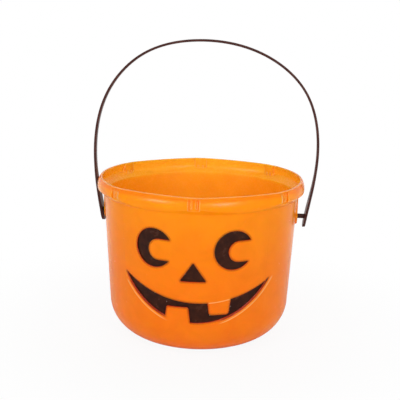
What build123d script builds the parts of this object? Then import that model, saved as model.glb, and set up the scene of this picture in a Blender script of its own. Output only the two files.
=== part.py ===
from build123d import *
import os
from math import asin, cos, degrees, radians, sin, tan

# Pumpkin candy pail: a moulded cup with a lobed collar and a recessed, painted face,
# and a strap handle whose studs snap into the two sides.
# Millimetres, +Z up. The origin is the middle of the base on the table, and the face looks along -Y.

os.makedirs("parts", exist_ok=True)

# Cup, outside sizes
pail_height = 137.5
collar_height = 13.7
body_top_radius = 83.6
draft_angle = 3.1
base_corner_radius = 31.0
wall = 1.8

# Collar: lobes that bulge out of the wall, with an upright joint between each two.
# Joints stand at these angles from the front, turning towards +X; the wide side lobes lie over the pivots.
# A lobe's curve has its centre behind the pail's axis, by its setback, so it is flatter than the wall.
joint_angles = [0, 52, 136, 184, 235, 313]
lobe_bulge = 3.1
lobe_setback = 83.3
side_lobe_bulge = 5.4
side_lobe_setback = 5.0
bulge_drop = 7.0
lip_inset = 2.1
tuck_radius = 9.3
tuck_angle = 50.0
foot_angle = 40.0
joint_rise = 4.0
joint_width = 9.0
joint_wall = 1.0

# The pair of upright ribs on each joint, outside below the lip and inside above the collar's foot
rib_spacing = 4.2
rib_width = 1.4
rib_height = 0.7
outer_rib_length = 7.0
outer_rib_drop = 1.2
inner_rib_length = 4.0
inner_rib_rise = 2.5

# Handle pivot: a pad on each side of the cup, below the collar, with a hole for the stud
pivot_angles = [90, 270]
pivot_drop = 18.8
pad_rise = 1.35
pad_width = 14.0
pad_chamfer = 0.6
stud_radius = 2.0
stud_clearance = 0.08

# Handle strap: a lopsided arch, pushed along its studs to +X.
# Gaps are from the strap's inner face to the pad and to the collar; rises are above the pivot.
strap_thickness = 2.0
strap_width = 5.0
left_pad_gap = 1.7
right_pad_gap = 6.3
left_collar_gap = 0.8
right_collar_gap = 6.0
left_belly_gap = 2.4
left_belly_rise = 52.0
right_belly_gap = 8.7
right_belly_rise = 62.0
crown_side = -3.6
crown_rise = 147.4
arch_fullness = 2.17
shoulder_angles = [30, 60]
tab_width = 12.0
tab_drop = 9.5
tab_lean = 8.5
tab_straight = 8.0
tab_taper = 30.0
stud_reach = 10.0
barb_radius = 3.1
barb_tip_radius = 1.5
barb_length = 3.6

# Face: recesses in the front of the wall, with paint on their floors and their backs raised inside
recess_depth = 1.5
recess_wall = 1.2
paint_thickness = 0.15
paint_clearance = 0.1
eye_angle = 22.9
eye_height = 94.0
eye_radius = 16.1
eye_notch_radius = 8.7
eye_notch_side = 4.2
eye_notch_drop = 1.1
nose_half_width = 10.8
nose_base_height = 68.3
nose_height = 16.0
nose_corner_radius = 0.8
mouth_left = (-55.9, 68.8)
mouth_right = (57.8, 64.2)
upper_lip_low = (2.0, 50.2)
lower_lip_low = (2.0, 33.2)
mouth_paint_end = 2.5
mouth_paint_rise = 0.6
tooth_length = 16.0
tooth_flank_angle = 83.0
upper_tooth_side = 20.8
upper_tooth_tip = 40.2
upper_tooth_width = 15.4
upper_tooth_corner = 2.6
lower_tooth_side = -12.2
lower_tooth_tip = 46.4
lower_tooth_width = 17.6
lower_tooth_corner = 1.8

# How far a cutting shape passes the faces that it cuts
overshoot = 2.0

# Derived sizes of the cup and the collar
collar_foot = pail_height - collar_height
bulge_height = pail_height - bulge_drop
blank_top = pail_height + overshoot
joint_radius = body_top_radius + joint_rise
collar_reach = body_top_radius + side_lobe_bulge
cup_reach = collar_reach + collar_height
lobe_spans = list(zip(joint_angles, [*joint_angles[1:], joint_angles[0] + 360]))


def wall_radius(height, inset):
    """Radius of the drafted wall at a height, moved in from the outside by inset."""
    outside = body_top_radius - (collar_foot - height) * tan(radians(draft_angle))
    return outside - inset / cos(radians(draft_angle))


pivot_height = collar_foot - pivot_drop
pad_face = wall_radius(pivot_height, 0) + pad_rise
pad_root = wall_radius(pivot_height, wall / 2)


def radial_plane(angle, distance):
    """An upright plane at a distance from the axis, facing outwards at an angle from the front."""
    turn = radians(angle)
    outwards = (sin(turn), -cos(turn), 0)
    sideways = (cos(turn), sin(turn), 0)
    return Plane(origin=Vector(*outwards) * distance, x_dir=sideways, z_dir=outwards)


def filled_cup(inset):
    """The cup as a filled solid of revolution, its skin moved in by inset."""
    with BuildPart() as cup:
        with BuildSketch(Plane.XZ) as profile:
            with BuildLine():
                Polyline(
                    (0, inset),
                    (wall_radius(inset, inset), inset),
                    (wall_radius(blank_top, inset), blank_top),
                    (0, blank_top),
                    close=True,
                )
            make_face()
            corner = profile.vertices().group_by(Axis.Y)[0].sort_by(Axis.X)[-1]
            fillet(corner, radius=base_corner_radius - inset)
        revolve(axis=Axis.Z)
    return cup.part


def joint_spots(distance):
    """Places at each joint, at a distance from the axis, turned to face outwards."""
    spots = []
    for angle in joint_angles:
        turn = radians(angle)
        spots.append(Location((distance * sin(turn), -distance * cos(turn), 0), (0, 0, angle - 90)))
    return spots


def filled_lobe(inset, start, end):
    """One lobe of the collar as a filled wedge between two joints, its skin moved in by inset."""
    over_pivot = any(start < angle < end for angle in pivot_angles)
    bulge = side_lobe_bulge if over_pivot else lobe_bulge
    setback = side_lobe_setback if over_pivot else lobe_setback
    curve_radius = body_top_radius + bulge + setback
    half_angle = radians((end - start) / 2)
    half_sweep = asin(cup_reach * sin(half_angle) / curve_radius)
    widest = curve_radius - inset
    arc_radius = tuck_radius - inset
    turn = radians(tuck_angle)
    tuck = Vector(widest - arc_radius * (1 - cos(turn)), bulge_height - arc_radius * sin(turn))
    inner_end = tuck - Vector(sin(turn), cos(turn)) * collar_height
    lip = Vector(widest - lip_inset, pail_height)
    foot_slope = tan(radians(foot_angle))
    foot_low = collar_foot + inset / cos(radians(foot_angle)) - body_top_radius * foot_slope
    sweep_start = Plane(
        origin=(-setback, 0, 0),
        x_dir=(cos(half_sweep), -sin(half_sweep), 0),
        z_dir=(-sin(half_sweep), -cos(half_sweep), 0),
    )
    with BuildPart() as lobe:
        with BuildSketch(sweep_start):
            with BuildLine():
                TangentArc((widest, bulge_height), tuck, tangent=(0, -1))
                TangentArc((widest, bulge_height), lip, tangent=(0, 1))
                Polyline(lip, (lip.X, blank_top), (inner_end.X, blank_top), inner_end, tuck)
            make_face()
        revolve(axis=Axis((-setback, 0, 0), (0, 0, 1)), revolution_arc=2 * degrees(half_sweep))
        with BuildSketch(Plane.XY):
            with BuildLine():
                side = cup_reach * tan(half_angle)
                Polyline((0, 0), (cup_reach, -side), (cup_reach, side), close=True)
            make_face()
        extrude(amount=blank_top, mode=Mode.INTERSECT)
        # A level foot: all lobes end on one cone that rises outwards from the wall
        with BuildSketch(Plane.XZ):
            with BuildLine():
                Polyline(
                    (0, foot_low),
                    (2 * cup_reach, foot_low + 2 * cup_reach * foot_slope),
                    (0, foot_low + 2 * cup_reach * foot_slope),
                    close=True,
                )
            make_face()
        revolve(axis=Axis.Z, mode=Mode.INTERSECT)
    return lobe.part.rotate(Axis.Z, (start + end) / 2 - 90)


def wall_ring(outer_inset, inner_inset):
    """A ring of the drafted wall between two insets, over the height of the face."""
    low = base_corner_radius
    high = collar_foot
    with BuildPart() as ring:
        with BuildSketch(Plane.XZ):
            with BuildLine():
                Polyline(
                    (wall_radius(low, inner_inset), low),
                    (wall_radius(low, outer_inset), low),
                    (wall_radius(high, outer_inset), high),
                    (wall_radius(high, inner_inset), high),
                    close=True,
                )
            make_face()
        revolve(axis=Axis.Z)
    return ring.part


def grow_outline(amount):
    """Move the outline being drawn outwards, with round corners, or inwards by a negative amount."""
    if amount:
        offset(amount=amount, kind=Kind.ARC if amount > 0 else Kind.INTERSECTION)


def eye_outline(angle, growth):
    """A crescent eye, open to the right, drawn on a plane that faces out at the eye."""
    with BuildSketch(radial_plane(angle, 0)) as outline:
        with Locations((0, eye_height)):
            Circle(eye_radius)
        with Locations((eye_notch_side, eye_height - eye_notch_drop)):
            Circle(eye_notch_radius, mode=Mode.SUBTRACT)
            Rectangle(
                2 * eye_radius,
                2 * eye_notch_radius,
                align=(Align.MIN, Align.CENTER),
                mode=Mode.SUBTRACT,
            )
        grow_outline(growth)
    return outline.sketch


def nose_outline(growth):
    """The triangular nose."""
    with BuildSketch(radial_plane(0, 0)) as outline:
        with BuildLine():
            Polyline(
                (-nose_half_width, nose_base_height),
                (nose_half_width, nose_base_height),
                (0, nose_base_height + nose_height),
                close=True,
            )
        make_face()
        fillet(outline.vertices(), radius=nose_corner_radius)
        grow_outline(growth)
    return outline.sketch


def tooth_outline(tip, side, width, corner, points_up, growth):
    """One tooth, rounded at its tip, that stands in the mouth."""
    root_width = width + 2 * tooth_length / tan(radians(tooth_flank_angle))
    direction = 1 if points_up else -1
    root = tip - direction * tooth_length
    with BuildSketch() as tooth:
        with BuildLine():
            Polyline(
                (side - root_width / 2, root),
                (side + root_width / 2, root),
                (side + width / 2, tip),
                (side - width / 2, tip),
                close=True,
            )
        make_face()
        tips = tooth.vertices().sort_by(Axis.Y)
        fillet(tips[2:] if points_up else tips[:2], radius=corner)
        grow_outline(growth)
    return tooth.sketch


def mouth_outline(growth, end=0, rise=0):
    """The grin: between two arcs that meet at its corners, with one upper and one lower tooth.

    The lower arc can start inside the corners, by end, and lie higher in the middle, by rise.
    """
    upper_lip = Edge.make_three_point_arc(mouth_left, upper_lip_low, mouth_right)
    share = end / upper_lip.length
    lowest = Vector(*lower_lip_low) + Vector(0, rise)
    lower_lip = Edge.make_three_point_arc(upper_lip @ share, lowest, upper_lip @ (1 - share))
    upper_tooth = tooth_outline(
        upper_tooth_tip, upper_tooth_side, upper_tooth_width, upper_tooth_corner, False, -growth
    )
    lower_tooth = tooth_outline(
        lower_tooth_tip, lower_tooth_side, lower_tooth_width, lower_tooth_corner, True, -growth
    )
    with BuildSketch(radial_plane(0, 0)) as outline:
        with Locations(lower_lip.arc_center):
            Circle(lower_lip.radius + growth)
        with Locations(upper_lip.arc_center):
            Circle(upper_lip.radius - growth, mode=Mode.SUBTRACT)
        add([upper_tooth, lower_tooth], mode=Mode.SUBTRACT)
    return outline.sketch


def face_relief(growth, outer_inset, inner_inset):
    """All four outlines of the face as one relief between two depths behind the skin of the wall."""
    ring = wall_ring(outer_inset, inner_inset)
    with BuildPart() as relief:
        extrude(eye_outline(-eye_angle, growth), amount=cup_reach)
        extrude(eye_outline(eye_angle, growth), amount=cup_reach)
        extrude(nose_outline(growth), amount=cup_reach)
        extrude(mouth_outline(growth), amount=cup_reach)
        add(ring, mode=Mode.INTERSECT)
    return relief.part


# Space inside the cup, one wall inside its skin
inner_cup = filled_cup(wall)
inner_lobes = [filled_lobe(wall, start, end) for start, end in lobe_spans]
with BuildPart() as cavity:
    add(inner_cup)
    add(inner_lobes)
    with BuildSketch(Plane.XY.offset(base_corner_radius)):
        with Locations(*joint_spots(joint_radius - wall)):
            Rectangle(cup_reach, joint_width + 2 * joint_wall, align=(Align.MIN, Align.CENTER))
    extrude(amount=blank_top, mode=Mode.SUBTRACT)

# Pads for the handle, rooted in the wall, with softened edges
with BuildPart() as pads:
    with BuildSketch(*[radial_plane(angle, pad_root) for angle in pivot_angles]):
        with Locations((0, pivot_height)):
            Circle(pad_width / 2)
            Rectangle(pad_width, pivot_drop + pad_rise, align=(Align.CENTER, Align.MIN))
    extrude(amount=pad_face - pad_root)
    outer_faces = pads.faces().filter_by(Axis.X).sort_by(Axis.X)
    chamfer(outer_faces[0].edges() + outer_faces[-1].edges(), length=pad_chamfer)

# Cup: one moulding
outer_cup = filled_cup(0)
outer_lobes = [filled_lobe(0, start, end) for start, end in lobe_spans]
recesses = face_relief(0, -overshoot, recess_depth)
recess_backs = face_relief(recess_wall, wall / 2, recess_depth + wall)
with BuildPart() as pail_shell:
    add(outer_cup)
    add(outer_lobes)
    # Flat upright channel at each joint
    with BuildSketch(Plane.XY.offset(base_corner_radius)):
        with Locations(*joint_spots(joint_radius)):
            Rectangle(cup_reach, joint_width, align=(Align.MIN, Align.CENTER))
    extrude(amount=blank_top, mode=Mode.SUBTRACT)
    add(pads.part)
    add(cavity.part, mode=Mode.SUBTRACT)
    split(bisect_by=Plane.XY.offset(pail_height), keep=Keep.BOTTOM)
    # Ribs on the outside and the inside of each joint
    with BuildSketch(*[radial_plane(angle, joint_radius) for angle in joint_angles]):
        rib_middle = pail_height - outer_rib_drop - outer_rib_length / 2
        with Locations((-rib_spacing / 2, rib_middle), (rib_spacing / 2, rib_middle)):
            Rectangle(rib_width, outer_rib_length)
    extrude(amount=rib_height)
    with BuildSketch(*[radial_plane(angle, joint_radius - wall) for angle in joint_angles]):
        rib_middle = collar_foot + inner_rib_rise + inner_rib_length / 2
        with Locations((-rib_spacing / 2, rib_middle), (rib_spacing / 2, rib_middle)):
            Rectangle(rib_width, inner_rib_length)
    extrude(amount=-rib_height)
    # Holes for the studs
    with BuildSketch(Plane.YZ):
        with Locations((0, pivot_height)):
            Circle(stud_radius + stud_clearance)
    extrude(amount=cup_reach, both=True, mode=Mode.SUBTRACT)
    # The face, pressed in from the front with an even wall
    add(recess_backs)
    add(recesses, mode=Mode.SUBTRACT)
pail_shell.part.label = "pail_shell"
export_step(pail_shell.part, "parts/pail_shell.step")

# Paint on the floors of the recesses; on the mouth it stops short of the lower edge
paint_ring = wall_ring(recess_depth - paint_thickness, recess_depth)
paint_outlines = {
    "left_eye_paint": eye_outline(-eye_angle, -paint_clearance),
    "right_eye_paint": eye_outline(eye_angle, -paint_clearance),
    "nose_paint": nose_outline(-paint_clearance),
    "mouth_paint": mouth_outline(-paint_clearance, mouth_paint_end, mouth_paint_rise),
}
for name, outline in paint_outlines.items():
    with BuildPart() as paint:
        extrude(outline, amount=cup_reach)
        add(paint_ring, mode=Mode.INTERSECT)
    paint.part.label = name
    export_step(paint.part, f"parts/{name}.step")


def tab_middle(side, pad_gap):
    """Where the strap's middle line crosses the pivot's height."""
    return side * (pad_face + pad_gap + strap_thickness / 2)


def strap_side(side, pad_gap, collar_gap, belly_gap, belly_rise):
    """Middle line of one side of the strap, from its tab's end up to the shoulder of the arch."""
    pivot_x = tab_middle(side, pad_gap)
    collar_x = side * (collar_reach + collar_gap + strap_thickness / 2)
    belly_x = side * (collar_reach + belly_gap + strap_thickness / 2)
    line = [
        (pivot_x - side * tab_drop * tan(radians(tab_lean)), pivot_height - tab_drop),
        (pivot_x, pivot_height),
        (collar_x, bulge_height),
        (belly_x, pivot_height + belly_rise),
    ]
    for angle in shoulder_angles:
        across = cos(radians(angle)) ** (2 / arch_fullness)
        upwards = sin(radians(angle)) ** (2 / arch_fullness)
        shoulder_x = crown_side + (belly_x - crown_side) * across
        shoulder_rise = belly_rise + (crown_rise - belly_rise) * upwards
        line.append((shoulder_x, pivot_height + shoulder_rise))
    return line


# Handle: the bent strap, cut to its tabs' outline, and the barbed studs
left_line = strap_side(-1, left_pad_gap, left_collar_gap, left_belly_gap, left_belly_rise)
right_line = strap_side(1, right_pad_gap, right_collar_gap, right_belly_gap, right_belly_rise)
crown = (crown_side, pivot_height + crown_rise)
tab_end_middle = pivot_height - tab_drop + tab_width / 2
taper_low = pivot_height + tab_straight
strap_top = pivot_height + crown_rise + strap_thickness
with BuildPart() as handle_strap:
    with BuildSketch(Plane.XZ):
        with BuildLine():
            Spline([*left_line, crown, *reversed(right_line)])
        trace(line_width=strap_thickness)
    extrude(amount=tab_width / 2, both=True)
    with BuildSketch(Plane.YZ):
        with Locations((0, tab_end_middle)):
            Circle(tab_width / 2)
        with BuildLine():
            Polyline(
                (-tab_width / 2, tab_end_middle),
                (tab_width / 2, tab_end_middle),
                (tab_width / 2, taper_low),
                (strap_width / 2, taper_low + tab_taper),
                (strap_width / 2, strap_top),
                (-strap_width / 2, strap_top),
                (-strap_width / 2, taper_low + tab_taper),
                (-tab_width / 2, taper_low),
                close=True,
            )
        make_face()
    extrude(amount=2 * cup_reach, both=True, mode=Mode.INTERSECT)
    for side, pad_gap in ((-1, left_pad_gap), (1, right_pad_gap)):
        root = tab_middle(side, pad_gap)
        shoulder = root - side * (strap_thickness / 2 + stud_reach)
        tip = shoulder - side * barb_length
        with BuildSketch(Plane.XZ):
            with BuildLine():
                Polyline(
                    (root, pivot_height),
                    (root, pivot_height + stud_radius),
                    (shoulder, pivot_height + stud_radius),
                    (shoulder, pivot_height + barb_radius),
                    (tip, pivot_height + barb_tip_radius),
                    (tip, pivot_height),
                    close=True,
                )
            make_face()
        revolve(axis=Axis((0, 0, pivot_height), (1, 0, 0)))
handle_strap.part.label = "handle_strap"
export_step(handle_strap.part, "parts/handle_strap.step")
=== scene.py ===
from math import cos, radians, sin, tan

import bmesh
import bpy
from bpy.props import FloatProperty, FloatVectorProperty, PointerProperty
from mathutils import Matrix, Quaternion, Vector


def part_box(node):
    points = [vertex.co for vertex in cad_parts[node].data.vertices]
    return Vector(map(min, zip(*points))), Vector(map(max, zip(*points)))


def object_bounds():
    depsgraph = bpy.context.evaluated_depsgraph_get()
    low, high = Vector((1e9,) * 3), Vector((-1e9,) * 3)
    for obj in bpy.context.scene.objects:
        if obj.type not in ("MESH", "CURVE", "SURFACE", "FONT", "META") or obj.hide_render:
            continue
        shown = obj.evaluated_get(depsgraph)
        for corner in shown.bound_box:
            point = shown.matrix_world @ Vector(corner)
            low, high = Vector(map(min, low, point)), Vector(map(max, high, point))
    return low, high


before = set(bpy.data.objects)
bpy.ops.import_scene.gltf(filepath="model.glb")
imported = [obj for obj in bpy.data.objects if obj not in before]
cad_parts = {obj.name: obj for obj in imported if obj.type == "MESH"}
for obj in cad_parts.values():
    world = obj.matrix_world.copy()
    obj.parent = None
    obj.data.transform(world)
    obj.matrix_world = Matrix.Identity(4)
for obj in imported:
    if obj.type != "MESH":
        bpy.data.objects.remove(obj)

bl_info = {
    "name": "Pumpkin candy pail",
    "version": (1, 0, 0),
    "blender": (4, 5, 0),
    "location": "View3D > Sidebar > Pumpkin pail",
    "description": "Finishes of a moulded pumpkin candy pail, and a plain studio stage around it",
    "category": "Object",
}

# Box of the solids, before any finish is added
solid_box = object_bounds()

# Height of the pail, from its own node. Lengths here are in metres.
base_corner, lip_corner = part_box("pail_shell")
pail_height = lip_corner.z - base_corner.z

# The drafted wall of the solid: its height and radius where the collar starts, and its lean
collar_foot = 0.1238
wall_radius = 0.0836
draft_angle = radians(3.1)

# The recesses of the face: their depth, the heights between which they lie, and the mouth's two arcs.
# Points are across and up, as seen from the front.
recess_depth = 0.0015
face_foot = 0.0315
face_top = 0.115
mouth_left = (-0.0559, 0.0688)
mouth_right = (0.0578, 0.0642)
upper_lip_low = (0.002, 0.0502)
lower_lip_low = (0.002, 0.0332)

# The sides of the upper tooth, where it meets the lip
tooth_left = 0.0125
tooth_right = 0.0295

# The slope below the mouth, beside the chin: its width, how much of it the paint covers, and the lean of
# the crooked grin, which carries the slope higher on the right
slope_width = 0.0034
slope_paint = 0.0015
grin_lean = 0.045

# The two upright parting lines on the front: their turn to each side, half their width as an angle, and
# the heights over which they fade in above the base corner and out below the collar
parting_turn = radians(45)
parting_spread = 0.008
parting_foot = (0.034, 0.040)
parting_top = (0.118, 0.114)

# Numbers of a Mix node's colour sockets, whose names its other sockets share
mix_first = 6
mix_second = 7
mix_result = 2


def hex_colour(text):
    """An sRGB hex colour as linear red, green and blue."""
    parts = [int(text[at:at + 2], 16) / 255 for at in (1, 3, 5)]
    return tuple(p / 12.92 if p <= 0.04045 else ((p + 0.055) / 1.055) ** 2.4 for p in parts)


def add(tree, kind, inputs=None, **settings):
    """Add a node with its settings, and set or link its inputs."""
    node = tree.nodes.new(kind)
    for name, value in settings.items():
        setattr(node, name, value)
    for name, value in (inputs or {}).items():
        if isinstance(value, bpy.types.NodeSocket):
            tree.links.new(value, node.inputs[name])
        else:
            node.inputs[name].default_value = value
    return node


def new_material(name):
    """An empty node material and its tree."""
    material = bpy.data.materials.new(name)
    material.use_nodes = True
    material.node_tree.nodes.clear()
    return material, material.node_tree


def within(tree, *ranges):
    """A mask: 1 where every value is past its end, 0 before its start, and smooth between them."""
    mask = 1.0
    for value, start, end in ranges:
        ramp = add(tree, "ShaderNodeMapRange", {
            "Value": value, "From Min": start, "From Max": end}, interpolation_type="SMOOTHSTEP")
        mask = add(tree, "ShaderNodeMath", {
            0: ramp.outputs["Result"], 1: mask}, operation="MULTIPLY").outputs["Value"]
    return mask


def rounded_edges(tree, radius, start, end):
    """The normal across rounded edges, and a mask of these edges.

    The mask goes from 0 to 1 as the cosine of that normal's turn from the face goes from start to end.
    """
    soft = add(tree, "ShaderNodeBevel", {"Radius": radius}, samples=6).outputs["Normal"]
    face_normal = add(tree, "ShaderNodeNewGeometry").outputs["Normal"]
    turned = add(tree, "ShaderNodeVectorMath", {0: soft, 1: face_normal}, operation="DOT_PRODUCT")
    edge = add(tree, "ShaderNodeMapRange", {
        "Value": turned.outputs["Value"], "From Min": start, "From Max": end})
    return soft, edge.outputs["Result"]


def circle_through(*points):
    """Centre and radius of the circle through three points."""
    first, second, third = (Vector(point) for point in points)
    ways = Matrix((second - first, third - first))
    halves = Vector((second.dot(second) - first.dot(first), third.dot(third) - first.dot(first))) / 2
    centre = ways.inverted() @ halves
    return centre, (first - centre).length


def finish_node(name, material):
    """Give a node of the frame its finish."""
    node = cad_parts[name]
    node.data.materials.clear()
    node.data.materials.append(material)


class PailFinish(bpy.types.PropertyGroup):
    """Colours and surface of the orange moulding."""

    # Painted light: the colours by height are a painted glow near the top and painted shade towards the base
    collar_colour: FloatVectorProperty(
        name="Collar colour", description="Plastic near the open top, where light shines through the wall",
        subtype="COLOR", size=3, min=0, max=1, default=hex_colour("#FC8606"))
    body_colour: FloatVectorProperty(
        name="Body colour", description="Plastic halfway down the wall",
        subtype="COLOR", size=3, min=0, max=1, default=hex_colour("#FC7807"))
    base_colour: FloatVectorProperty(
        name="Base colour", description="Plastic at the base corner, where no light shines through",
        subtype="COLOR", size=3, min=0, max=1, default=hex_colour("#FA7610"))
    # The inside colours are a painted glow of light through the wall, palest inside the back of the collar
    inside_colour: FloatVectorProperty(
        name="Inside colour", description="Plastic inside the pail, which glows with light through the wall",
        subtype="COLOR", size=3, min=0, max=1, default=hex_colour("#FC8E16"))
    inside_collar_colour: FloatVectorProperty(
        name="Inside collar colour",
        description="Plastic inside the back of the collar, where the most light comes through",
        subtype="COLOR", size=3, min=0, max=1, default=hex_colour("#FD9C1E"))
    # Pale edge colour: rubbed wear, and a painted highlight where the edges catch the light
    rim_colour: FloatVectorProperty(
        name="Rim colour", description="Plastic along edges, where it is rubbed and catches the light",
        subtype="COLOR", size=3, min=0, max=1, default=hex_colour("#FFAE66"))
    stain_colour: FloatVectorProperty(
        name="Stain colour", description="Walls of the face's recesses, covered by the dark paint",
        subtype="COLOR", size=3, min=0, max=1, default=hex_colour("#3A1510"))
    bleed_colour: FloatVectorProperty(
        name="Bleed colour", description="Edges of the face's recesses, where the paint runs thin",
        subtype="COLOR", size=3, min=0, max=1, default=hex_colour("#B4340A"))
    bleed_width: FloatProperty(
        name="Bleed width", description="Reach around the recesses within which the paint runs thin",
        subtype="DISTANCE", unit="LENGTH", min=0, max=0.005, default=0.003)
    roughness: FloatProperty(
        name="Roughness", description="Roughness of the satin moulded surface",
        subtype="FACTOR", min=0, max=1, default=0.22)
    inside_roughness: FloatProperty(
        name="Inside roughness", description="Roughness of the inside, where the mould's core is duller",
        subtype="FACTOR", min=0, max=1, default=0.26)
    edge_radius: FloatProperty(
        name="Edge radius", description="Rounding of the moulded edges",
        subtype="DISTANCE", unit="LENGTH", min=0, max=0.002, default=0.0012)


class StrapFinish(bpy.types.PropertyGroup):
    """Colours and surface of the dark handle."""

    colour: FloatVectorProperty(
        name="Strap colour", description="Dark red-brown plastic",
        subtype="COLOR", size=3, min=0, max=1, default=hex_colour("#3A160F"))
    rubbed_colour: FloatVectorProperty(
        name="Rubbed colour", description="Plastic where handling has dulled it",
        subtype="COLOR", size=3, min=0, max=1, default=hex_colour("#5A352B"))
    roughness: FloatProperty(
        name="Roughness", description="Roughness of the strap",
        subtype="FACTOR", min=0, max=1, default=0.38)
    edge_radius: FloatProperty(
        name="Edge radius", description="Rounding of the strap's edges",
        subtype="DISTANCE", unit="LENGTH", min=0, max=0.002, default=0.0006)


class FacePaint(bpy.types.PropertyGroup):
    """Colours and gloss of the painted face."""

    colour: FloatVectorProperty(
        name="Paint colour", description="Dark brown gloss paint",
        subtype="COLOR", size=3, min=0, max=1, default=hex_colour("#2A1009"))
    thin_colour: FloatVectorProperty(
        name="Thin paint colour", description="Paint where the coat is thin and the orange warms it",
        subtype="COLOR", size=3, min=0, max=1, default=hex_colour("#3D1C0E"))
    # Pale specks: dust in the coat, and painted glints on the wet paint
    dust_and_glint_colour: FloatVectorProperty(
        name="Speck colour", description="Dust caught in the coat",
        subtype="COLOR", size=3, min=0, max=1, default=hex_colour("#A9968D"))
    roughness: FloatProperty(
        name="Roughness", description="Roughness of the dried coat",
        subtype="FACTOR", min=0, max=1, default=0.2)


class StudioStage(bpy.types.PropertyGroup):
    """The floor, the lights and the camera."""

    floor_colour: FloatVectorProperty(
        name="Floor colour", description="Pale floor",
        subtype="COLOR", size=3, min=0, max=1, default=hex_colour("#DCDCDC"))
    floor_white: FloatProperty(
        name="Floor white",
        description="Share of plain white in the floor beside the pail; the rest takes shadow",
        subtype="FACTOR", min=0, max=1, default=0.92)
    ambient: FloatProperty(
        name="Ambient light", description="Strength of the even light from all around",
        min=0, max=2, default=0.56)
    left_power: FloatProperty(
        name="Left softbox", description="Power of the softbox at the front left",
        unit="POWER", min=0, max=200, default=3.0)
    right_power: FloatProperty(
        name="Right softbox", description="Power of the softbox at the front right",
        unit="POWER", min=0, max=200, default=3.5)
    top_power: FloatProperty(
        name="Top softbox", description="Power of the softbox high above the camera",
        unit="POWER", min=0, max=200, default=3.8)
    back_power: FloatProperty(
        name="Back softbox", description="Power of the softbox behind, which shines through the wall",
        unit="POWER", min=0, max=200, default=6.0)
    camera_turn: FloatProperty(
        name="Camera turn", description="Camera's turn about the pail, from straight ahead of the face",
        subtype="ANGLE", unit="ROTATION", default=radians(3.5))
    camera_rise: FloatProperty(
        name="Camera rise", description="How steeply the camera looks down",
        subtype="ANGLE", unit="ROTATION", default=radians(13.26))
    camera_roll: FloatProperty(
        name="Camera roll", description="Lean of the camera about its line of sight",
        subtype="ANGLE", unit="ROTATION", default=radians(1.26))
    camera_distance: FloatProperty(
        name="Camera distance", description="Distance from the camera to its aim",
        subtype="DISTANCE", unit="LENGTH", min=0.1, max=5, default=0.685)
    camera_lens: FloatProperty(
        name="Camera lens", description="Focal length on a 36 mm wide sensor",
        subtype="DISTANCE_CAMERA", min=10, max=200, default=70.7)
    aim_height: FloatProperty(
        name="Aim height", description="Height of the point that the camera looks at",
        subtype="DISTANCE", unit="LENGTH", min=0, max=1, default=0.1159)
    aim_side: FloatProperty(
        name="Aim offset", description="How far to the camera's right of the pail's axis it aims",
        subtype="DISTANCE", unit="LENGTH", min=-0.1, max=0.1, default=-0.00069)


class PumpkinPail(bpy.types.PropertyGroup):
    """All settings of the pail."""

    pail: PointerProperty(type=PailFinish, name="Pail", description="Finish of the orange moulding")
    strap: PointerProperty(type=StrapFinish, name="Strap", description="Finish of the dark handle")
    face: PointerProperty(type=FacePaint, name="Face", description="Paint of the eyes, nose and mouth")
    stage: PointerProperty(type=StudioStage, name="Stage", description="Floor, lights and camera")


def inside_mask(tree, place):
    """A mask that is 1 on the inside of the pail: its wall looks at the axis, and its floor looks up."""
    to_axis = (-0.05, -0.2)
    facing_up = (0.4, 0.6)
    floor_height = (0.03, 0.02)
    normal = add(tree, "ShaderNodeNewGeometry").outputs["Normal"]
    level = add(tree, "ShaderNodeVectorMath", {0: place, 1: (1, 1, 0)}, operation="MULTIPLY")
    spoke = add(tree, "ShaderNodeVectorMath", {0: level.outputs["Vector"]}, operation="NORMALIZE")
    outward = add(tree, "ShaderNodeVectorMath", {
        0: normal, 1: spoke.outputs["Vector"]}, operation="DOT_PRODUCT")
    wall = within(tree, (outward.outputs["Value"], *to_axis))
    height = add(tree, "ShaderNodeSeparateXYZ", {"Vector": place}).outputs["Z"]
    upward = add(tree, "ShaderNodeSeparateXYZ", {"Vector": normal}).outputs["Z"]
    floor = within(tree, (upward, *facing_up), (height, *floor_height))
    return add(tree, "ShaderNodeMath", {0: wall, 1: floor}, operation="MAXIMUM").outputs["Value"]


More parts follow.
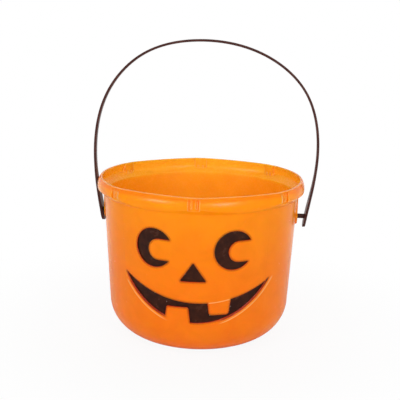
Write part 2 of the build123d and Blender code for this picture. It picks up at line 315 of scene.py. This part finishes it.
def face_masks(tree, place, edge):
    """Masks for the face: painted walls, bleeding edges, the slope below the mouth, and painted highlights.
    """
    split = add(tree, "ShaderNodeSeparateXYZ", {"Vector": place})
    across = split.outputs["X"]
    up = split.outputs["Z"]
    aside = add(tree, "ShaderNodeMath", {0: across}, operation="ABSOLUTE").outputs["Value"]

    # Depth below the skin of the drafted wall
    lean = tan(draft_angle)
    level = add(tree, "ShaderNodeVectorMath", {0: place, 1: (1, 1, 0)}, operation="MULTIPLY")
    spread = add(tree, "ShaderNodeVectorMath", {0: level.outputs["Vector"]}, operation="LENGTH")
    skin = add(tree, "ShaderNodeMath", {
        0: up, 1: lean, 2: wall_radius - collar_foot * lean}, operation="MULTIPLY_ADD")
    depth = add(tree, "ShaderNodeMath", {
        0: skin.outputs["Value"], 1: spread.outputs["Value"]}, operation="SUBTRACT").outputs["Value"]

    # The front at the height of the face, and on it the recesses' walls, the skin and the bleeding edges.
    # The masks fade over a blur to each side of these depths, and the skin's over half a blur.
    blur = 0.0002
    wall_start = 0.0005
    skin_end = 0.0002
    bleed_end = 0.0007
    bleed_fade = (0, 0.8)
    front_half = (-0.015, -0.025)
    end_fade = 0.0005
    front = within(
        tree, (split.outputs["Y"], *front_half),
        (up, face_foot, face_foot + end_fade), (up, face_top, face_top - end_fade))
    walls = within(
        tree, (front, 0, 1), (depth, wall_start - blur, wall_start + blur),
        (depth, recess_depth + blur, recess_depth + blur / 2))
    skin_only = within(tree, (front, 0, 1), (depth, skin_end + blur / 2, skin_end - blur / 2))
    bleed = within(
        tree, (front, 0, 1), (edge, *bleed_fade), (depth, bleed_end + blur, bleed_end - blur))

    # Distances outside the mouth's arcs, as seen from the front
    faced = add(tree, "ShaderNodeVectorMath", {0: place, 1: (1, 0, 1)}, operation="MULTIPLY")
    outside = []
    for lip_low in (lower_lip_low, upper_lip_low):
        centre, radius = circle_through(mouth_left, lip_low, mouth_right)
        reach = add(tree, "ShaderNodeVectorMath", {
            0: faced.outputs["Vector"], 1: (centre.x, 0, centre.y)}, operation="DISTANCE")
        outside.append(add(tree, "ShaderNodeMath", {
            0: reach.outputs["Value"], 1: radius}, operation="SUBTRACT").outputs["Value"])
    below, above = outside

    # Beside the chin the mouth's lower edge slopes in, painted at first, with a painted highlight line along
    # its outer rim
    chin_side = (0.018, 0.028)
    flank_top = (0.065, 0.061)
    lip_start = -0.0003
    rim_highlight_width = 0.0008
    levelled = add(tree, "ShaderNodeMath", {0: across, 1: -grin_lean, 2: up}, operation="MULTIPLY_ADD")
    flank = within(
        tree, (skin_only, 0, 1), (aside, *chin_side), (levelled.outputs["Value"], *flank_top),
        (below, lip_start, 0))
    slope = within(tree, (flank, 0, 1), (below, slope_width, 0))
    painted_slope = within(
        tree, (flank, 0, 1), (below, slope_paint + 2 * blur, slope_paint - 2 * blur))
    painted = add(tree, "ShaderNodeMath", {0: walls, 1: painted_slope}, operation="MAXIMUM")
    from_rim = add(tree, "ShaderNodeMath", {0: below, 1: slope_width}, operation="SUBTRACT")
    off_rim = add(tree, "ShaderNodeMath", {0: from_rim.outputs["Value"]}, operation="ABSOLUTE")
    flank_highlight = within(tree, (flank, 0, 1), (off_rim.outputs["Value"], rim_highlight_width, 0))

    # The upper tooth meets the lip in a fine painted highlight line, which fades at the tooth's sides
    lip_highlight_width = 0.0007
    side_fade = 0.001
    off_lip = add(tree, "ShaderNodeMath", {0: above}, operation="ABSOLUTE")
    tooth_highlight = within(
        tree, (skin_only, 0, 1), (off_lip.outputs["Value"], lip_highlight_width, 0),
        (across, tooth_left - side_fade, tooth_left + side_fade),
        (across, tooth_right + side_fade, tooth_right - side_fade))
    lines = add(tree, "ShaderNodeMath", {0: flank_highlight, 1: tooth_highlight}, operation="MAXIMUM")
    return painted.outputs["Value"], bleed, slope, lines.outputs["Value"]


def parting_mask(tree, split):
    """A mask of the two parting lines on the front."""
    towards = add(tree, "ShaderNodeMath", {0: split.outputs["Y"], 1: -1.0}, operation="MULTIPLY")
    angle = add(tree, "ShaderNodeMath", {
        0: split.outputs["X"], 1: towards.outputs["Value"]}, operation="ARCTAN2")
    either = add(tree, "ShaderNodeMath", {0: angle.outputs["Value"]}, operation="ABSOLUTE")
    beside = add(tree, "ShaderNodeMath", {
        0: either.outputs["Value"], 1: parting_turn}, operation="SUBTRACT")
    off_line = add(tree, "ShaderNodeMath", {0: beside.outputs["Value"]}, operation="ABSOLUTE")
    return within(
        tree, (off_line.outputs["Value"], parting_spread, 0.0),
        (split.outputs["Z"], *parting_foot), (split.outputs["Z"], *parting_top))


def plastic_colour_with_painted_light(tree, split, inside, settings):
    """The plastic's colour, before marks and wear, with light and shade painted in.

    Light shines through the wall at the open top and not at the base, so the colour deepens downwards: a
    painted glow above and painted shade below. The lip and the hollow below it are deeper too, as painted
    shade. The inside is paler and palest inside the back of the collar, as a painted glow.
    """
    # Shares of the pail's height, and the colour at each
    shades = (
        (0.04, settings.base_colour),
        (0.5, settings.body_colour),
        (0.92, settings.collar_colour),
        (0.97, settings.collar_colour),
        (0.985, settings.body_colour),
    )
    height = add(tree, "ShaderNodeMapRange", {
        "Value": split.outputs["Z"], "From Min": 0.0, "From Max": pail_height})
    ramp = add(tree, "ShaderNodeValToRGB", {"Fac": height.outputs["Result"]})
    stops = ramp.color_ramp.elements
    stops.remove(stops[1])
    lowest, lowest_colour = shades[0]
    stops[0].position = lowest
    stops[0].color = (*lowest_colour, 1)
    for share, colour in shades[1:]:
        stops.new(share).color = (*colour, 1)

    # A paler colour inside the back of the collar: a painted glow of light through the wall
    collar_start = (collar_foot - 0.002, collar_foot + 0.001)
    back_half = (-0.02, 0.06)
    painted_collar_glow = within(tree, (split.outputs["Z"], *collar_start), (split.outputs["Y"], *back_half))
    painted_inside_glow = add(tree, "ShaderNodeMix", {
        "Factor": painted_collar_glow, mix_first: (*settings.inside_colour, 1),
        mix_second: (*settings.inside_collar_colour, 1)}, data_type="RGBA")
    plastic = add(tree, "ShaderNodeMix", {
        "Factor": inside, mix_first: ramp.outputs["Color"],
        mix_second: painted_inside_glow.outputs[mix_result]}, data_type="RGBA")
    return plastic.outputs[mix_result]


def moulded_polypropylene(settings):
    """Orange polypropylene, injection moulded.

    To the eye it is satin, with some light in its wall, partly painted into its colour as glow and shade,
    faint flow marks and draw marks, a few scuffs, and painted highlights along edges.
    """
    material, tree = new_material("moulded_orange_polypropylene")
    place = add(tree, "ShaderNodeTexCoord").outputs["Object"]
    split = add(tree, "ShaderNodeSeparateXYZ", {"Vector": place})
    up = split.outputs["Z"]

    # Edges, rounded by the mould. The paint reaches further out from the edges of the recesses.
    soft, edge = rounded_edges(tree, settings.edge_radius, start=0.99, end=0.75)
    near_edge = rounded_edges(tree, settings.bleed_width, start=0.995, end=0.9)[1]
    painted, bleed, mouth_slope, painted_rim_highlights = face_masks(tree, place, near_edge)
    inside = inside_mask(tree, place)
    plastic = plastic_colour_with_painted_light(tree, split, inside, settings)

    # Flow marks, where the melt cooled unevenly
    flow_width = 0.022
    flow = add(tree, "ShaderNodeTexNoise", {
        "Vector": place, "Scale": 1 / flow_width, "Detail": 3.0, "Roughness": 0.55, "Distortion": 0.6})
    flow_shade = add(tree, "ShaderNodeMapRange", {
        "Value": flow.outputs["Fac"], "From Min": 0.3, "From Max": 0.7, "To Min": 0.95, "To Max": 1.05})
    tinted = add(tree, "ShaderNodeHueSaturation", {
        "Color": plastic, "Value": flow_shade.outputs["Result"]})

    # Draw marks: long upright streaks, from pulling the pail off its core
    streak_width = 0.0024
    upright = (1.0, 1.0, 0.04)
    stretched = add(tree, "ShaderNodeMapping", {"Vector": place, "Scale": upright})
    draw = add(tree, "ShaderNodeTexNoise", {
        "Vector": stretched.outputs["Vector"], "Scale": 1 / streak_width, "Detail": 2.0, "Roughness": 0.5})

    # Satin grain of the tool's surface, really about 0.1 mm; drawn at 1.8 mm so that it shows
    grain_size = 0.0018
    grain = add(tree, "ShaderNodeTexNoise", {
        "Vector": place, "Scale": 1 / grain_size, "Detail": 3.0, "Roughness": 0.6})

    # Scuffs from handling: sparse scratches along a slant, duller than the rest
    scratch_width = 0.003
    slant = (0.4, 0.7, 0.3)
    along = (1.0, 0.12, 1.0)
    scuff_dulling = 0.12
    scratch_place = add(tree, "ShaderNodeMapping", {"Vector": place, "Rotation": slant, "Scale": along})
    scratch = add(tree, "ShaderNodeTexNoise", {
        "Vector": scratch_place.outputs["Vector"], "Scale": 1 / scratch_width, "Detail": 4.0,
        "Roughness": 0.7})
    scuff = add(tree, "ShaderNodeMapRange", {
        "Value": scratch.outputs["Fac"], "From Min": 0.62, "From Max": 0.76})

    # Edges are rubbed a little paler, and those of the joints in the collar more. The pale edges are partly a
    # painted highlight, and the lines along the mouth's rims are painted highlights.
    band_foot = (collar_foot + 0.002, collar_foot + 0.004)
    band_top = (pail_height - 0.0015, pail_height - 0.003)
    in_band = within(tree, (up, *band_foot), (up, *band_top))
    wear = add(tree, "ShaderNodeMapRange", {"Value": in_band, "To Min": 0.1, "To Max": 0.7})
    worn = add(tree, "ShaderNodeMath", {0: edge, 1: wear.outputs["Result"]}, operation="MULTIPLY")
    paler = add(tree, "ShaderNodeMath", {
        0: worn.outputs["Value"], 1: painted_rim_highlights}, operation="MAXIMUM", use_clamp=True)
    rubbed = add(tree, "ShaderNodeMix", {
        "Factor": paler.outputs["Value"], mix_first: tinted.outputs["Color"],
        mix_second: (*settings.rim_colour, 1)}, data_type="RGBA")

    # Dark paint has run up the walls of the recesses, and bleeds red over their edges
    stained = add(tree, "ShaderNodeMix", {
        "Factor": painted, mix_first: rubbed.outputs[mix_result],
        mix_second: (*settings.stain_colour, 1)}, data_type="RGBA")
    bled = add(tree, "ShaderNodeMix", {
        "Factor": bleed, mix_first: stained.outputs[mix_result],
        mix_second: (*settings.bleed_colour, 1)}, data_type="RGBA")

    # The inside, the grain and the scuffs each have a share in the roughness
    rough_side = add(tree, "ShaderNodeMapRange", {
        "Value": inside, "To Min": settings.roughness, "To Max": settings.inside_roughness})
    rough_grain = add(tree, "ShaderNodeMapRange", {
        "Value": grain.outputs["Fac"], "From Min": 0.3, "From Max": 0.7, "To Min": -0.04, "To Max": 0.05})
    rough_scuff = add(tree, "ShaderNodeMath", {
        0: scuff.outputs["Result"], 1: scuff_dulling, 2: rough_grain.outputs["Result"]},
        operation="MULTIPLY_ADD")
    rough = add(tree, "ShaderNodeMath", {
        0: rough_side.outputs["Result"], 1: rough_scuff.outputs["Value"]}, operation="ADD")

    # The grain, the draw marks, the parting lines and the slope below the mouth, one on top of the other
    fine = add(tree, "ShaderNodeBump", {
        "Height": grain.outputs["Fac"], "Strength": 0.1, "Distance": 0.0002, "Normal": soft})
    streaks = add(tree, "ShaderNodeBump", {
        "Height": draw.outputs["Fac"], "Strength": 0.08, "Distance": 0.0004,
        "Normal": fine.outputs["Normal"]})
    ridge = add(tree, "ShaderNodeBump", {
        "Height": parting_mask(tree, split), "Strength": 0.35, "Distance": 0.0003,
        "Normal": streaks.outputs["Normal"]})
    dip = add(tree, "ShaderNodeBump", {
        "Height": mouth_slope, "Strength": 1.0, "Distance": 0.0008, "Normal": ridge.outputs["Normal"]},
        invert=True)

    # Light passes through the wall, but not through the base, which lies on the table
    glow_heights = (0.004, 0.018)
    glow = within(tree, (up, *glow_heights))
    shader = add(tree, "ShaderNodeBsdfPrincipled", {
        "Base Color": bled.outputs[mix_result], "Roughness": rough.outputs["Value"],
        "Normal": dip.outputs["Normal"], "IOR": 1.49, "Specular IOR Level": 0.14,
        "Subsurface Weight": glow, "Subsurface Radius": (0.65, 0.6, 0.5), "Subsurface Scale": 0.012})
    add(tree, "ShaderNodeOutputMaterial", {"Surface": shader.outputs["BSDF"]})
    return material


def strap_polyethylene(settings):
    """Dark polyethylene, moulded.

    To the eye it is nearly black and satin, rubbed dull in places and paler along its edges.
    """
    material, tree = new_material("moulded_dark_polyethylene")
    place = add(tree, "ShaderNodeTexCoord").outputs["Object"]
    soft, edge = rounded_edges(tree, settings.edge_radius, start=0.99, end=0.7)

    # Handling marks, and edges that are rubbed too
    mark_size = 0.009
    edge_rub = 0.4
    rub = add(tree, "ShaderNodeTexNoise", {
        "Vector": place, "Scale": 1 / mark_size, "Detail": 4.0, "Roughness": 0.6})
    rub_share = add(tree, "ShaderNodeMapRange", {
        "Value": rub.outputs["Fac"], "From Min": 0.42, "From Max": 0.75, "To Max": 0.55})
    worn = add(tree, "ShaderNodeMath", {
        0: edge, 1: edge_rub, 2: rub_share.outputs["Result"]}, operation="MULTIPLY_ADD", use_clamp=True)
    colour = add(tree, "ShaderNodeMix", {
        "Factor": worn.outputs["Value"], mix_first: (*settings.colour, 1),
        mix_second: (*settings.rubbed_colour, 1)}, data_type="RGBA")

    # Satin grain of the tool's surface, really about 0.1 mm; drawn at 1.6 mm so that it shows
    grain_size = 0.0016
    grain = add(tree, "ShaderNodeTexNoise", {
        "Vector": place, "Scale": 1 / grain_size, "Detail": 3.0, "Roughness": 0.6})
    rough = add(tree, "ShaderNodeMapRange", {
        "Value": grain.outputs["Fac"], "From Min": 0.3, "From Max": 0.7,
        "To Min": settings.roughness - 0.06, "To Max": settings.roughness + 0.08})
    bump = add(tree, "ShaderNodeBump", {
        "Height": grain.outputs["Fac"], "Strength": 0.12, "Distance": 0.0002, "Normal": soft})
    shader = add(tree, "ShaderNodeBsdfPrincipled", {
        "Base Color": colour.outputs[mix_result], "Roughness": rough.outputs["Result"],
        "Normal": bump.outputs["Normal"], "IOR": 1.5, "Specular IOR Level": 0.25})
    add(tree, "ShaderNodeOutputMaterial", {"Surface": shader.outputs["BSDF"]})
    return material


def gloss_enamel(settings):
    """Dark gloss enamel, sprayed into the recesses.

    To the eye it is a deep brown with a wet look, thin in places, with orange peel, and pale specks that are
    dust and painted glints.
    """
    material, tree = new_material("sprayed_gloss_enamel")
    place = add(tree, "ShaderNodeTexCoord").outputs["Object"]

    # Patches where the coat is thin
    patch_size = 0.008
    coat = add(tree, "ShaderNodeTexNoise", {
        "Vector": place, "Scale": 1 / patch_size, "Detail": 4.0, "Roughness": 0.6, "Distortion": 0.4})
    thin = add(tree, "ShaderNodeMapRange", {
        "Value": coat.outputs["Fac"], "From Min": 0.4, "From Max": 0.72})
    paint = add(tree, "ShaderNodeMix", {
        "Factor": thin.outputs["Result"], mix_first: (*settings.colour, 1),
        mix_second: (*settings.thin_colour, 1)}, data_type="RGBA")

    # Specks about 0.6 mm across, dust and painted glints, in the cells whose random value is above the bar:
    # about one in four
    cell_size = 0.005
    speck_bar = 0.72
    cells = add(tree, "ShaderNodeTexVoronoi", {"Vector": place, "Scale": 1 / cell_size, "Randomness": 1.0})
    near = add(tree, "ShaderNodeMapRange", {
        "Value": cells.outputs["Distance"], "From Min": 0.075, "From Max": 0.045})
    pick = add(tree, "ShaderNodeSeparateColor", {"Color": cells.outputs["Color"]})
    picked = add(tree, "ShaderNodeMath", {0: pick.outputs["Red"], 1: speck_bar}, operation="GREATER_THAN")
    dust_and_glint = add(tree, "ShaderNodeMath", {
        0: near.outputs["Result"], 1: picked.outputs["Value"]}, operation="MULTIPLY")
    colour = add(tree, "ShaderNodeMix", {
        "Factor": dust_and_glint.outputs["Value"], mix_first: paint.outputs[mix_result],
        mix_second: (*settings.dust_and_glint_colour, 1)}, data_type="RGBA")

    # Orange peel, as a sprayed coat dries
    peel_size = 0.003
    peel = add(tree, "ShaderNodeTexNoise", {
        "Vector": place, "Scale": 1 / peel_size, "Detail": 2.0, "Roughness": 0.5})
    wave = add(tree, "ShaderNodeBump", {
        "Height": peel.outputs["Fac"], "Strength": 0.18, "Distance": 0.0004})
    bump = add(tree, "ShaderNodeBump", {
        "Height": dust_and_glint.outputs["Value"], "Strength": 0.5, "Distance": 0.0002,
        "Normal": wave.outputs["Normal"]})
    rough = add(tree, "ShaderNodeMapRange", {
        "Value": coat.outputs["Fac"], "From Min": 0.3, "From Max": 0.7,
        "To Min": settings.roughness - 0.04, "To Max": settings.roughness + 0.1})
    shader = add(tree, "ShaderNodeBsdfPrincipled", {
        "Base Color": colour.outputs[mix_result], "Roughness": rough.outputs["Result"],
        "Normal": bump.outputs["Normal"], "IOR": 1.52, "Specular IOR Level": 0.12})
    add(tree, "ShaderNodeOutputMaterial", {"Surface": shader.outputs["BSDF"]})
    return material


def seen_directly(tree, path):
    """A mask of the rays that the camera sees, also through something clear."""
    return add(tree, "ShaderNodeMath", {
        0: path.outputs["Is Camera Ray"], 1: path.outputs["Is Transmission Ray"]},
        operation="MAXIMUM").outputs["Value"]


def matt_paper(settings):
    """Matt white paper, white to the camera and in the pail's gloss, with the pail's shadow on it."""
    material, tree = new_material("matt_white_paper")
    path = add(tree, "ShaderNodeLightPath")
    place = add(tree, "ShaderNodeTexCoord").outputs["Object"]

    # The gloss shows the paper behind the pail as white
    behind_pail = (0.0, 0.3)
    depth = add(tree, "ShaderNodeSeparateXYZ", {"Vector": place}).outputs["Y"]
    mirrored = within(tree, (path.outputs["Is Glossy Ray"], 0, 1), (depth, *behind_pail))
    seen = add(tree, "ShaderNodeMath", {0: seen_directly(tree, path), 1: mirrored}, operation="MAXIMUM")

    # The paper takes the pail's shadow close by, and is plain white further out
    shadow_near = 0.085
    shadow_far = 0.28
    far = add(tree, "ShaderNodeVectorMath", {0: place}, operation="LENGTH")
    share = add(tree, "ShaderNodeMapRange", {
        "Value": far.outputs["Value"], "From Min": shadow_near, "From Max": shadow_far,
        "To Min": settings.floor_white, "To Max": 1.0}, interpolation_type="SMOOTHSTEP")
    matt = add(tree, "ShaderNodeBsdfDiffuse", {"Color": (*settings.floor_colour, 1)})
    white = add(tree, "ShaderNodeEmission", {"Color": (1, 1, 1, 1), "Strength": 1.0})
    lit = add(tree, "ShaderNodeMixShader", {
        0: share.outputs["Result"], 1: matt.outputs["BSDF"], 2: white.outputs["Emission"]})
    paper = add(tree, "ShaderNodeMixShader", {
        0: seen.outputs["Value"], 1: matt.outputs["BSDF"], 2: lit.outputs["Shader"]})
    add(tree, "ShaderNodeOutputMaterial", {"Surface": paper.outputs["Shader"]})
    return material


def lay_floor(scene, settings):
    """A pale floor, a hair below the base, so that the two faces don't share one plane."""
    floor_reach = 15.0
    floor_drop = 0.0002
    sheet = bmesh.new()
    bmesh.ops.create_grid(
        sheet, x_segments=1, y_segments=1, size=floor_reach, matrix=Matrix.Translation((0, 0, -floor_drop)))
    floor_mesh = bpy.data.meshes.new("studio_floor")
    sheet.to_mesh(floor_mesh)
    sheet.free()
    floor_mesh.materials.append(matt_paper(settings))
    floor = bpy.data.objects.new("studio_floor", floor_mesh)
    scene.collection.objects.link(floor)


def surround(scene, settings):
    """White surroundings: an even light all round, and a white backdrop that the pail's gloss shows too."""
    world = bpy.data.worlds.new("white_studio")
    world.use_nodes = True
    tree = world.node_tree
    tree.nodes.clear()
    path = add(tree, "ShaderNodeLightPath")

    # The white backdrop stands behind the pail and lights its back; the room behind the camera is dim
    backdrop_edge = (0.2, 0.7)
    way = add(tree, "ShaderNodeTexCoord").outputs["Generated"]
    depth = add(tree, "ShaderNodeSeparateXYZ", {"Vector": way}).outputs["Y"]
    behind = within(tree, (depth, *backdrop_edge))
    seen = add(tree, "ShaderNodeMath", {0: seen_directly(tree, path), 1: behind}, operation="MAXIMUM")
    even = add(tree, "ShaderNodeBackground", {"Color": (1, 1, 1, 1), "Strength": settings.ambient})
    backdrop = add(tree, "ShaderNodeBackground", {"Color": (1, 1, 1, 1), "Strength": 1.0})
    around = add(tree, "ShaderNodeMixShader", {
        0: seen.outputs["Value"], 1: even.outputs["Background"], 2: backdrop.outputs["Background"]})
    add(tree, "ShaderNodeOutputWorld", {"Surface": around.outputs["Shader"]})
    scene.world = world


def direction(turn, rise):
    """The way out from the pail at a turn from straight ahead of its face, and at a rise."""
    return Vector((sin(turn) * cos(rise), -cos(turn) * cos(rise), sin(rise)))


def hang_softbox(scene, name, power, turn, rise, distance, width):
    """A square softbox that looks at the middle of the pail, from a turn and a rise in degrees."""
    light = bpy.data.lights.new(name, "AREA")
    light.energy = power
    light.size = width
    lamp = bpy.data.objects.new(name, light)
    way = direction(radians(turn), radians(rise))
    lamp.location = (solid_box[0] + solid_box[1]) / 2 + way * distance
    lamp.rotation_mode = "QUATERNION"
    lamp.rotation_quaternion = way.to_track_quat("Z", "Y")
    scene.collection.objects.link(lamp)
    return lamp


def place_camera(scene, settings):
    """A camera at the photographed angle."""
    camera_data = bpy.data.cameras.new("studio_camera")
    camera_data.sensor_width = 36.0
    camera_data.lens = settings.camera_lens
    camera = bpy.data.objects.new("studio_camera", camera_data)
    way = direction(settings.camera_turn, settings.camera_rise)
    right = Vector((cos(settings.camera_turn), sin(settings.camera_turn), 0))
    target = right * settings.aim_side + Vector((0, 0, settings.aim_height))
    camera.location = target + way * settings.camera_distance
    camera.rotation_mode = "QUATERNION"
    camera.rotation_quaternion = (
        way.to_track_quat("Z", "Y") @ Quaternion((0, 0, 1), settings.camera_roll))
    scene.collection.objects.link(camera)
    scene.camera = camera


class PUMPKIN_OT_pail(bpy.types.Operator):
    """Finish the orange pail"""

    bl_idname = "pumpkin.pail"
    bl_label = "Finish the pail"

    def execute(self, context):
        finish_node("pail_shell", moulded_polypropylene(context.scene.pumpkin.pail))
        return {"FINISHED"}


class PUMPKIN_OT_handle(bpy.types.Operator):
    """Finish the dark strap handle"""

    bl_idname = "pumpkin.handle"
    bl_label = "Finish the handle"

    def execute(self, context):
        finish_node("handle_strap", strap_polyethylene(context.scene.pumpkin.strap))
        return {"FINISHED"}


class PUMPKIN_OT_face(bpy.types.Operator):
    """Paint the eyes, the nose and the mouth"""

    bl_idname = "pumpkin.face"
    bl_label = "Paint the face"

    def execute(self, context):
        enamel = gloss_enamel(context.scene.pumpkin.face)
        for name in ("left_eye_paint", "right_eye_paint", "nose_paint", "mouth_paint"):
            finish_node(name, enamel)
        return {"FINISHED"}


class PUMPKIN_OT_stage(bpy.types.Operator):
    """Set the floor, the lights and the camera"""

    bl_idname = "pumpkin.stage"
    bl_label = "Set the stage"

    def execute(self, context):
        scene = context.scene
        settings = scene.pumpkin.stage
        lay_floor(scene, settings)
        surround(scene, settings)
        # Low softboxes to each side draw the streaks on the collar; the high one reaches inside the pail
        hang_softbox(scene, "left_softbox", settings.left_power, turn=-47, rise=9, distance=1.1, width=0.2)
        hang_softbox(scene, "right_softbox", settings.right_power, turn=37, rise=8, distance=1.1, width=0.2)
        hang_softbox(scene, "top_softbox", settings.top_power, turn=0, rise=38, distance=1.2, width=0.9)
        # The low one behind shines through the wall, and is kept out of the gloss of the lip
        back_softbox = hang_softbox(
            scene, "back_softbox", settings.back_power, turn=176, rise=2, distance=1.2, width=0.25)
        back_softbox.visible_glossy = False
        place_camera(scene, settings)
        scene.view_settings.view_transform = "Standard"
        return {"FINISHED"}


class PUMPKIN_PT_panel(bpy.types.Panel):
    """Sidebar panel with the pail's settings and steps"""

    bl_idname = "PUMPKIN_PT_panel"
    bl_label = "Pumpkin pail"
    bl_space_type = "VIEW_3D"
    bl_region_type = "UI"
    bl_category = "Pumpkin pail"

    def draw(self, context):
        settings = context.scene.pumpkin
        groups = (
            (settings.pail, PUMPKIN_OT_pail),
            (settings.strap, PUMPKIN_OT_handle),
            (settings.face, PUMPKIN_OT_face),
            (settings.stage, PUMPKIN_OT_stage),
        )
        for group, operator in groups:
            box = self.layout.box()
            for name in group.__annotations__:
                box.prop(group, name)
            box.operator(operator.bl_idname)


classes = (
    PailFinish,
    StrapFinish,
    FacePaint,
    StudioStage,
    PumpkinPail,
    PUMPKIN_OT_pail,
    PUMPKIN_OT_handle,
    PUMPKIN_OT_face,
    PUMPKIN_OT_stage,
    PUMPKIN_PT_panel,
)


def register():
    for item in classes:
        bpy.utils.register_class(item)
    bpy.types.Scene.pumpkin = PointerProperty(
        type=PumpkinPail, name="Pumpkin pail", description="Settings of the pail and its stage")


def unregister():
    del bpy.types.Scene.pumpkin
    for item in reversed(classes):
        bpy.utils.unregister_class(item)


def main():
    register()
    bpy.ops.pumpkin.pail()
    bpy.ops.pumpkin.handle()
    bpy.ops.pumpkin.face()
    bpy.ops.pumpkin.stage()


if __name__ == "__main__":
    main()
